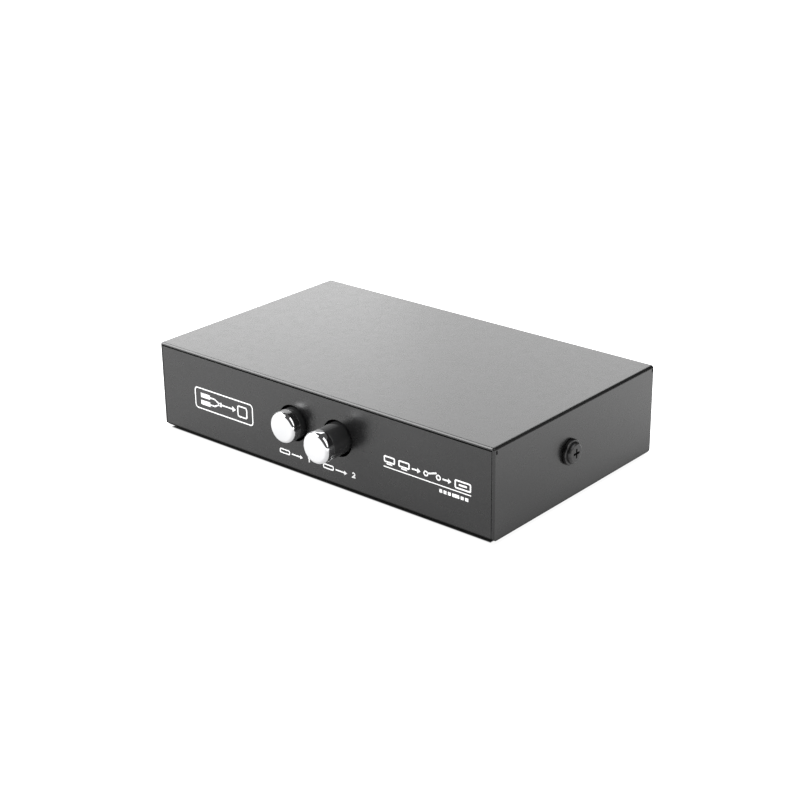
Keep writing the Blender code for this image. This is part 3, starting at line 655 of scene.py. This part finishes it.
def corner_cut(cover, side, end, back, lowest):
    """Rounds off a lower corner of one side."""
    radius = 1.0 * MM
    centre = (end + back * radius, lowest + radius)
    outline = arc(centre, radius, 270, 270 - back * 90, 8)
    past = 0.5 * MM
    outline += [Vector((end - back * past, lowest + radius))]
    outline += [Vector((end - back * past, lowest - past))]
    outline += [Vector((end + back * radius, lowest - past))]
    x = side * HALF_WIDTH - 2 * SHEET
    bm = bmesh.new()
    face = bm.faces.new([bm.verts.new((x, y, z)) for y, z in outline])
    extrude(bm, [face], (4 * SHEET, 0, 0))
    cut(cover, f"corner_{side + 1}_{back + 1}", bm)


def make_feet():
    for node in ("foot_front_left", "foot_front_right", "foot_rear_left", "foot_rear_right"):
        lowest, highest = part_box(node)
        radius = (highest.x - lowest.x) / 2
        height = highest.z - lowest.z
        profile = rounded([
            (0, height),
            (radius, height, 0.06 * MM),
            (radius, 0, 0.22 * MM),
            (radius * 0.55, 0),
            (radius * 0.5, 0.08 * MM),
            (0, 0.08 * MM),
        ], 4)
        place = (middle(node).x, middle(node).y, lowest.z)
        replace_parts(piece(f"{node}_pad", lathe(profile, place), "rubber"), node)


def cross_recess(screw, place, axis, width, depth):
    """Cuts a cross recess, tapered like its driver."""
    narrow = width * 0.24
    for number, size in enumerate(((width, narrow), (narrow, width))):
        bm = bmesh.new()
        made = bmesh.ops.create_cube(bm, size=1.0)["verts"]
        bmesh.ops.scale(bm, vec=(*size, 2 * depth), verts=made)
        for vert in made:
            if vert.co.z < 0:
                vert.co.x *= 0.5
                vert.co.y *= 0.5
        bmesh.ops.transform(bm, matrix=Matrix.Translation(place) @ facing(axis), verts=made)
        cut(screw, f"{screw.name}_cross_{number}", bm)


def make_screw(name, node, seat, axis, sizes, look, steps):
    """A cross-head screw. Its sizes are flange radius and height, head radius and height, shank
    radius and length, and pitch."""
    flange, flange_height, head, head_height, shank, length, pitch = sizes
    profile = rounded([
        (0, head_height),
        (head, head_height, 0.42 * head_height),
        (head, flange_height, 0.08 * MM),
        (flange, flange_height, 0.3 * flange_height),
        (flange, 0, 0.05 * MM),
        (shank, 0),
    ], 6)
    profile += threaded_run(shank, -0.3 * MM, -length + 0.4 * MM, pitch)
    profile += [Vector((shank - 0.4 * MM, -length)), Vector((0, -length))]
    thread = (-length + 0.2 * MM, -0.3 * MM, pitch, 0.2 * pitch * 1.6)
    screw = piece(name, lathe(profile, seat, axis, steps, thread), look, None)
    cross_recess(screw, seat + Vector(axis) * head_height, axis, head * 1.2, 0.62 * head_height)
    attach(screw, "case")
    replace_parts(screw, node)


def make_side_screws():
    sizes = (3.5 * MM, 0.95 * MM, 2.9 * MM, 1.95 * MM, 1.4 * MM, 6.0 * MM, 0.6 * MM)
    for node, side in (("side_screw_left", -1), ("side_screw_right", 1)):
        seat = Vector((side * (HALF_WIDTH + 0.1 * MM), middle(node).y, middle(node).z))
        make_screw(f"{node}_threaded", node, seat, (side, 0, 0), sizes, "black_screw", 96)


# Buttons


def make_buttons():
    for number in NUMBERS:
        make_cap(number)
        make_sleeve(number)


def make_cap(number):
    """A chromed cap: a flat face, a deep rounded edge, and a side that tapers a little."""
    node = f"button_{number}_cap"
    lowest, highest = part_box(node)
    radius = (highest.x - lowest.x) / 2
    depth = highest.y - lowest.y
    edge = 0.9 * MM
    skin = 0.7 * MM
    bore = 3.9 * MM
    side = radius - 0.08 * MM
    rim = 0.02 * MM  # the face is this much lower at its rim
    profile = [Vector((0, 0)), Vector((0.5 * radius, -0.3 * rim))]
    profile += arc((side - edge, -rim - edge * CAP_EDGE_DEPTH), edge, 90, 0, 24, CAP_EDGE_DEPTH)
    profile += rounded([
        (side, -rim - edge * CAP_EDGE_DEPTH),
        (radius, -depth, 0.06 * MM),
        (bore, -depth, 0.05 * MM),
        (bore, -skin, 0.15 * MM),
        (0, -skin),
    ])[1:]
    place = (middle(node).x, lowest.y, middle(node).z)
    shell = lathe(profile, place, (0, -1, 0), 144)
    made = piece(f"button_{number}_chrome", shell, "chrome", f"button_{number}", 50)
    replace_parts(made, node)


def make_sleeve(number):
    """A black sleeve with a spigot for its cap and a square socket for its plunger."""
    node = f"button_{number}_sleeve"
    cap = f"button_{number}_cap"
    lowest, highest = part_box(node)
    radius = (highest.x - lowest.x) / 2
    spigot = 3.6 * MM
    shoulder = lowest.y - high(cap).y - 0.1 * MM
    length = highest.y - lowest.y
    x, z = middle(node).x, middle(node).z
    profile = rounded([
        (0, 0),
        (spigot, 0, 0.1 * MM),
        (spigot, shoulder),
        (radius, shoulder, 0.2 * MM),
        (radius, -length, 0.25 * MM),
        (0, -length),
    ])
    barrel = lathe(profile, (x, lowest.y, z), (0, -1, 0), 144)
    made = piece(f"button_{number}_barrel", barrel, "black_plastic", None)
    half = 2.3 * MM
    bm = bmesh.new()
    block(bm, (x - half, highest.y - 8.1 * MM, z - half), (x + half, highest.y + 1 * MM, z + half))
    cut(made, f"button_{number}_socket", bm)
    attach(made, f"button_{number}")
    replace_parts(made, node)


# Switch


def make_switch():
    """The interlocked switch: the parts that slide, and those that guide them."""
    for number in NUMBERS:
        body = f"button_{number}"
        refine(f"plunger_{number}", "white_plastic", 0.12 * MM, body, 3)
        refine(f"wiper_{number}", "brass", 0.04 * MM, body)
        refine(f"switch_housing_{number}", "black_plastic", 0.18 * MM, "case", 3)
        refine(f"switch_base_{number}", "laminate", 0.05 * MM)
    refine("switch_frame", "zinc", 0.1 * MM)
    refine("latch_plate", "zinc", 0.08 * MM, "latch")
    piece("switch_pins", gather(switch_pins()), "solder")


def pin_places():
    """(x, y) of the six pins under each housing."""
    return [
        (middle(f"switch_housing_{number}").x + side * 2.6 * MM,
         middle(f"switch_housing_{number}").y + row * 5.0 * MM)
        for number in NUMBERS for row in (-1, 0, 1) for side in (-1, 1)
    ]


def switch_pins():
    half, thin = 0.35 * MM, 0.15 * MM
    for x, y in pin_places():
        bm = bmesh.new()
        upper = low("switch_housing_1").z + 0.9 * MM
        block(bm, (x - half, y - thin, BOARD_LOW - 1.2 * MM), (x + half, y + thin, upper))
        yield bm


def make_springs():
    """A coil in the place of each return spring and of the latch spring."""
    wire, radius = 0.35 * MM, 3.3 * MM
    for number in NUMBERS:
        node = f"return_spring_{number}"
        front, rear = low(node).y, high(node).y
        x, z = middle(f"plunger_{number}").x, SWITCH_AXIS_Z
        bm = coil((x, front, z), (x, rear, z), radius, wire, 7)
        if number == 1:
            made = piece(f"{node}_coil", bm, "spring_steel", None)
            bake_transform(made)
        else:
            made = piece(f"{node}_coil", bm, "spring_steel")
            pressed = 1 - joint_reach("button_2_press") / (rear - front)
            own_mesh(made)
        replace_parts(made, node)
    left, right = low("latch_spring").x, high("latch_spring").x
    y, z = middle("latch_spring").y, SWITCH_AXIS_Z
    bm = coil((left, y, z), (right, y, z), 1.2 * MM, 0.2 * MM, 5)
    made = piece("latch_spring_coil", bm, "spring_steel")
    pressed = 1 - joint_reach("latch_slide") / (right - left)
    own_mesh(made)
    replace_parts(made, "latch_spring")


def joint_reach(name):
    """How far a sliding joint goes from rest."""
    joint = next(item for item in frame["joints"] if item["name"] == name)
    return max(abs(limit) for limit in joint["range_m"])


# Board


def make_board():
    refine("circuit_board", "board", 0.06 * MM)
    for number in range(1, 5):
        make_standoff(f"board_standoff_{number}")
        make_board_screw(f"board_screw_{number}")
    piece("solder_joints", gather(solder_joints()), "solder")
    make_tracks()
    make_board_print()


def make_standoff(node):
    """A turned brass spacer with a threaded bore and a groove at each end."""
    lowest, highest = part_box(node)
    radius = (highest.x - lowest.x) / 2
    height = highest.z - lowest.z
    bore, depth, chamfer = 1.5 * MM, 4.4 * MM, 0.25 * MM
    groove = [
        (radius, 0.9 * MM), (radius - chamfer, 0.9 * MM - chamfer),
        (radius - chamfer, 0.9 * MM - 2 * chamfer), (radius, 0.9 * MM - 3 * chamfer),
    ]
    upper = [(r, height - z) for r, z in reversed(groove)]
    profile = [(0, height - depth), (bore, height - depth)]
    profile += [(bore, height - chamfer), (bore + chamfer, height), (radius - chamfer, height)]
    profile += upper + groove + [(radius - chamfer, 0), (0, 0)]
    place = (middle(node).x, middle(node).y, lowest.z)
    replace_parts(piece(f"{node}_turned", lathe(profile, place, steps=48), "brass"), node)


def make_board_screw(node):
    sizes = (2.4 * MM, 0.3 * MM, 2.2 * MM, 1.6 * MM, 1.2 * MM, 5.6 * MM, 0.5 * MM)
    length = sizes[5]
    seat = Vector((middle(node).x, middle(node).y, low(node).z + length))
    make_screw(f"{node}_threaded", node, seat, (0, 0, 1), sizes, "zinc", 64)


def contact_nodes():
    return [node for node in frame["nodes"] if "_contact_" in node]


def tail_place(node):
    """Where a contact's tail goes through the board: it is the frontmost part of the contact."""
    return middle(node).x, low(node).y + 0.15 * MM


def solder_joints():
    """A cone of solder round each tail and pin, under the board."""
    tails = [tail_place(node) for node in contact_nodes()]
    for x, y in tails + pin_places():
        wide, reach = 0.85 * MM, 1.0 * MM
        slope = arc((wide + 0.2 * MM, reach), wide - 0.1 * MM, 180, 265, 8, reach / (wide - 0.1 * MM))
        profile = [Vector((0, reach + 0.12 * MM)), Vector((0.24 * MM, reach + 0.06 * MM))]
        profile += slope + [Vector((wide + 0.16 * MM, 0)), Vector((0, 0))]
        yield lathe(profile, (x, y, BOARD_LOW), (0, 0, -1), 20)


def make_tracks():
    """Tracks from the sockets' tails to the switch's pins, on both sides of the board."""
    for side, face, right in (("upper", BOARD_HIGH, 1), ("under", BOARD_LOW, -1)):
        tracks = Overlay((0, 0, face), (right, 0, 0), (0, 1, 0))
        pins = sorted(pin_places())
        tails = sorted(tail_place(node) for node in contact_nodes())
        chosen = tails[::2] if side == "upper" else tails[1::2]
        goals = pins[::2] if side == "upper" else pins[1::2]
        for number, (tail, pin) in enumerate(zip(chosen, goals)):
            start = (tail[0] / MM * right, tail[1] / MM - 1.0)
            end = (pin[0] / MM * right, pin[1] / MM + 1.0)
            level = 9.0 + 1.4 * number
            tracks.line(track_path(start, end, level), 0.5)
        for x, y in {(middle(f"board_screw_{n}").x, middle(f"board_screw_{n}").y) for n in range(1, 5)}:
            tracks.ring((x / MM * right, y / MM), 2.9, 0.5)
        tracks.finish(f"tracks_{side}", "mask_over_copper")


def track_path(start, end, level):
    """Straight down, across and down again, with its corners cut at 45 degrees."""
    step = math.copysign(min(1.0, abs(end[0] - start[0]) / 2), end[0] - start[0])
    return [
        start,
        (start[0], level + abs(step)),
        (start[0] + step, level),
        (end[0] - step, level),
        (end[0], level - abs(step)),
        end,
    ]


def make_board_print():
    """Outlines and numbers by the pieces on the board."""
    ink = Overlay((0, 0, BOARD_HIGH), (1, 0, 0), (0, 1, 0))
    margin = 0.7
    for node in ("usb_b_1_shell", "usb_b_2_shell", "usb_a_shell",
                 "switch_housing_1", "switch_housing_2"):
        lowest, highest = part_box(node)
        rear = min(highest.y / MM + margin, high("circuit_board").y / MM - 0.3)
        ink.frame(lowest.x / MM - margin, lowest.y / MM - margin, highest.x / MM + margin, rear, 0.16)
    for number, node in enumerate(("usb_b_1_shell", "usb_b_2_shell"), 1):
        ink.digit(number, middle(node).x / MM - 9.0, 26.0, 1.8, 0.25)
    ink.finish("board_marks", "white_ink")


# Sockets


def make_sockets():
    for number in NUMBERS:
        refine(f"usb_b_{number}_shell", "nickel", 0.15 * MM, segments=3)
        refine(f"usb_b_{number}_insert", "socket_plastic", 0.12 * MM)
    refine("usb_a_shell", "nickel", 0.12 * MM, segments=3)
    refine("usb_a_insert", "white_plastic", 0.1 * MM)
    for node in contact_nodes():
        refine(node, "gilt", 0.06 * MM)
    piece("usb_a_spring_fingers", gather(spring_fingers()), "nickel")
    piece("socket_legs", gather(socket_legs()), "nickel")


def spring_fingers():
    """Four bent fingers in the flat socket's shell, which grip the plug."""
    lowest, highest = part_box("usb_a_shell")
    wall, thickness, dip = 0.4 * MM, 0.2 * MM, 0.45 * MM
    half = 1.1 * MM
    start, end = highest.y - 7.5 * MM, highest.y - 1.2 * MM
    steps = 16
    for surface, inward in ((highest.z - wall, -1), (lowest.z + wall, 1)):
        outer, inner = [], []
        for k in range(steps + 1):
            y = start + (end - start) * k / steps
            bend = dip * math.sin(math.pi * min(1.0, 1.35 * k / steps)) ** 2
            outer.append((y, surface + inward * (bend + 0.01 * MM)))
            inner.append((y, surface + inward * (bend + thickness)))
        outline = outer + inner[::-1]
        for across in (-3.4 * MM, 3.4 * MM):
            x = middle("usb_a_shell").x + across
            yield prism(outline, x - half, x + half)


def socket_legs():
    """Two legs of each shell, soldered through the board."""
    for node in ("usb_b_1_shell", "usb_b_2_shell", "usb_a_shell"):
        lowest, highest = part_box(node)
        y = highest.y - 5.5 * MM
        for x in (lowest.x + 0.2 * MM, highest.x - 0.2 * MM):
            bm = bmesh.new()
            block(bm, (x - 0.2 * MM, y - 1.0 * MM, BOARD_LOW - 1.3 * MM),
                  (x + 0.2 * MM, y + 1.0 * MM, lowest.z + 0.6 * MM))
            yield bm


# Print


def make_front_print():
    """Plain marks on the front panel: a badge, a sign for each button, and a row of devices."""
    ink = Overlay((0, FRONT, CASE_LOW), (1, 0, 0), (0, 0, 1))
    draw_badge(ink)
    for number, left in zip(NUMBERS, (-13.2, 2.5)):
        draw_button_sign(ink, number, left)
    draw_devices(ink)
    ink.bar(23.5, 10.4, 51.5, 10.68)
    draw_dashes(ink)
    ink.finish("front_marks", "white_ink")


def draw_badge(ink):
    """Two inputs that share one output, in a rounded frame."""
    ink.frame(-45.2, 8.9, -23.0, 14.9, 0.35, 1.0)
    stroke = 0.4
    for low_edge in (10.2, 12.3):
        ink.bar(-43.0, low_edge, -39.4, low_edge + 1.3)
        middle_height = low_edge + 0.65
        ink.line([(-39.5, middle_height), (-37.6, middle_height), (-35.6, 11.9)], stroke)
    ink.dot((-35.3, 11.9), 0.65)
    ink.arrow(-34.8, -29.4, 11.9, stroke, 0.85)
    ink.frame(-28.6, 10.4, -25.2, 13.4, stroke, 0.5)


def draw_button_sign(ink, number, left):
    """A small screen, an arrow and the input's number."""
    low_edge, height = 4.1, 1.15
    ink.frame(left + 0.15, low_edge + 0.1, left + 3.6, low_edge + height, 0.33, 0.3)
    ink.arrow(left + 4.4, left + 8.4, low_edge + height / 2, 0.36, 0.62)
    ink.digit(number, left + 10.2, low_edge, 1.5, 0.36)


def draw_devices(ink):
    """Two screens, a switch and the device that they share."""
    low_edge, high_edge = 11.45, 13.45
    stroke = 0.42
    level = (low_edge + high_edge) / 2
    for left in (23.8, 28.6):
        ink.frame(left, low_edge + 0.55, left + 3.3, high_edge, stroke, 0.25)
        ink.bar(left + 0.7, low_edge - 0.15, left + 2.6, low_edge + 0.2)
    ink.arrow(32.8, 35.6, level, stroke, 0.7)
    ink.ring((37.3, level), 0.6, 0.36)
    ink.line([(37.85, level + 0.15), (40.7, high_edge)], stroke)
    ink.ring((41.3, level), 0.6, 0.36)
    ink.arrow(42.6, 45.4, level, stroke, 0.7)
    ink.frame(46.6, low_edge, 51.3, high_edge, stroke, 0.3)
    ink.bar(47.7, level - 0.25, 50.2, level + 0.25)


def draw_dashes(ink):
    left = 41.6
    for width in (0.9, 0.9, 0.9, 2.2, 0.9, 1.0):
        ink.bar(left, 8.65, left + width, 9.55)
        left += width + 0.45


def make_rear_print():
    """Numbers over the square sockets, and an outward arrow over the flat one."""
    ink = Overlay((0, REAR, CASE_LOW), (-1, 0, 0), (0, 0, 1))
    height = 21.4
    for number in NUMBERS:
        ink.digit(number, -middle(f"usb_b_{number}_shell").x / MM - 0.6, height, 1.9, 0.32)
    across = -middle("usb_a_shell").x / MM
    ink.arrow(across - 2.4, across + 2.4, height + 0.9, 0.35, 0.8)
    ink.finish("rear_marks", "white_ink")


# Stage


CAMERA_PLACE = Vector((277.33, -321.02, 188.24)) * MM
CAMERA_AZIMUTH = math.radians(40.55)
CAMERA_ELEVATION = math.radians(22.43)
CAMERA_ROLL = math.radians(-0.723)
CAMERA_LENS = 75.53


def make_camera():
    camera = bpy.data.objects.new("camera", bpy.data.cameras.new("camera"))
    bpy.context.scene.collection.objects.link(camera)
    bpy.context.scene.camera = camera
    camera.data.lens = CAMERA_LENS
    camera.data.sensor_width = 36.0
    camera.data.clip_start = 0.01
    camera.data.clip_end = 20.0
    turn = Matrix.Rotation(CAMERA_AZIMUTH, 4, "Z")
    turn @= Matrix.Rotation(math.pi / 2 - CAMERA_ELEVATION, 4, "X")
    turn @= Matrix.Rotation(CAMERA_ROLL, 4, "Z")
    camera.matrix_world = Matrix.Translation(CAMERA_PLACE) @ turn


def softbox(name, azimuth, elevation, distance, width, height, radiance):
    """A studio softbox aimed at the object. Azimuth 0 is behind the front panel, towards +Y, and
    grows towards -X."""
    across, up = math.radians(azimuth), math.radians(elevation)
    towards = Vector((
        -math.sin(across) * math.cos(up), math.cos(across) * math.cos(up), math.sin(up)
    ))
    lamp = bpy.data.lights.new(name, "AREA")
    lamp.shape = "RECTANGLE"
    lamp.size, lamp.size_y = width, height
    lamp.energy = radiance * math.pi * width * height
    made = bpy.data.objects.new(name, lamp)
    bpy.context.scene.collection.objects.link(made)
    made.location = Vector((0, 0, CASE_HIGH / 2)) + towards * distance
    made.rotation_euler = towards.to_track_quat("Z", "Y").to_euler()
    made.visible_camera = False


def make_lights():
    softbox("back_light", 42, 30, 1.3, 1.25, 0.95, 2.6)
    softbox("back_left_light", 58, 14, 1.3, 0.8, 0.45, 0.95)
    softbox("key_light", 128, 26, 1.2, 1.1, 1.15, 10.0)
    softbox("right_light", -80, 40, 1.2, 1.1, 1.4, 2.2)


def make_world():
    """A dim studio that the camera sees as plain white."""
    world = bpy.data.worlds.new("studio")
    bpy.context.scene.world = world
    world.use_nodes = True
    nodes, links = world.node_tree.nodes, world.node_tree.links
    dim = nodes["Background"]
    dim.inputs["Color"].default_value = (0.12, 0.12, 0.12, 1.0)
    plain = nodes.new("ShaderNodeBackground")
    plain.inputs["Color"].default_value = (1.0, 1.0, 1.0, 1.0)
    rays = nodes.new("ShaderNodeLightPath")
    choose = nodes.new("ShaderNodeMixShader")
    links.new(rays.outputs["Is Camera Ray"], choose.inputs["Fac"])
    links.new(dim.outputs["Background"], choose.inputs[1])
    links.new(plain.outputs["Background"], choose.inputs[2])
    links.new(choose.outputs["Shader"], nodes["World Output"].inputs["Surface"])


def make_floor():
    """A floor that glows like a light table, with painted shade under the case, where its colour and
    glow are dark.

    Its glow is set for what the case reflects. The camera sees it as plain white, but for a shadow under
    the case whose size is also given here.
    """
    half = 4.0
    bm = bmesh.new()
    corners = ((-half, -half), (half, -half), (half, half), (-half, half))
    bm.faces.new([bm.verts.new((x, y, 0)) for x, y in corners])
    data = bpy.data.meshes.new("floor")
    bm.to_mesh(data)
    bm.free()
    floor = bpy.data.objects.new("floor", data)
    bpy.context.scene.collection.objects.link(floor)
    # Painted shade: the dark base colour, 0.02, stands for the shade under the case. The mask below
    # tints the floor pale beyond the footprint and lets its glow in there.
    pale = Surface("pale_floor", (0.02, 0.02, 0.02), 0.6)
    pale.rough(pale.noise(0.05), 0.55, 0.65)
    outside = pale.spread(beyond_case(pale), 0.0, 1.0, 0.0, 1.5 * MM)
    pale.tint(outside, (0.36, 0.36, 0.36), 0.0, 1.0)
    pale.set("Specular IOR Level", 0.2)
    pale.set("Emission Color", (1.0, 1.0, 1.0, 1.0))
    # Painted shadow: camera rays see the floor white, except for a dark rectangle under the case that is
    # a little smaller than its footprint.
    rays = pale.tree.nodes.new("ShaderNodeLightPath")
    plain = pale.spread(beyond_case(pale, 1.6 * MM, 0.8 * MM), 0.0, 0.95, -0.2 * MM, 0.2 * MM)
    seen = pale.math("MULTIPLY", rays.outputs["Is Camera Ray"], plain)
    glow = pale.math("MULTIPLY", floor_glow(pale), outside)
    pale.tree.links.new(pale.math("ADD", glow, seen), pale.shader.inputs["Emission Strength"])
    data.materials.append(LOOKS["pale_floor"])


def floor_glow(pale):
    """The floor is brighter away from the case's nearest corner and its front, and most of all
    behind its right side."""
    place = pale.node("ShaderNodeSeparateXYZ", Vector=pale.place)
    away = pale.tree.nodes.new("ShaderNodeVectorMath")
    away.operation = "DISTANCE"
    pale.tree.links.new(pale.place, away.inputs[0])
    away.inputs[1].default_value = (HALF_WIDTH, FRONT, 0)
    right = (HALF_WIDTH - 8 * MM, HALF_WIDTH + 8 * MM)
    near = pale.spread(place.outputs["X"], 0.38, 0.88, *right)
    far = pale.spread(place.outputs["X"], 0.66, 1.5, *right)
    glow = pale.spread(away.outputs["Value"], near, far, 25 * MM, 120 * MM)
    before = pale.spread(place.outputs["Y"], 0.25, 0.0, FRONT - 45 * MM, FRONT)
    return pale.math("ADD", glow, before)


def beyond_case(pale, less_wide=0, less_deep=0):
    """How far a point of the floor is outside the case's footprint, or one smaller on each side."""
    place = pale.node("ShaderNodeSeparateXYZ", Vector=pale.place)
    half_width, half_depth = HALF_WIDTH - less_wide, (REAR - FRONT) / 2 - less_deep
    across = pale.math("SUBTRACT", pale.math("ABSOLUTE", place.outputs["X"]), half_width)
    along = pale.math("SUBTRACT", place.outputs["Y"], (FRONT + REAR) / 2)
    along = pale.math("SUBTRACT", pale.math("ABSOLUTE", along), half_depth)
    return pale.math("MAXIMUM", across, along)


make_paints()
make_plastics()
make_metals()
make_board_looks()
make_chassis()
make_cover()
make_feet()
make_side_screws()
make_buttons()
make_switch()
make_springs()
make_board()
make_sockets()
make_front_print()
make_rear_print()
for node, cad in frame["nodes"].items():
    slot = cad.data.materials[0].name
    if slot in LOOKS:
        cad.data.materials[0] = LOOKS[slot]
make_camera()
make_lights()
make_world()
make_floor()
bpy.context.scene.view_settings.view_transform = "Standard"
bpy.context.scene.cycles.use_denoising = True
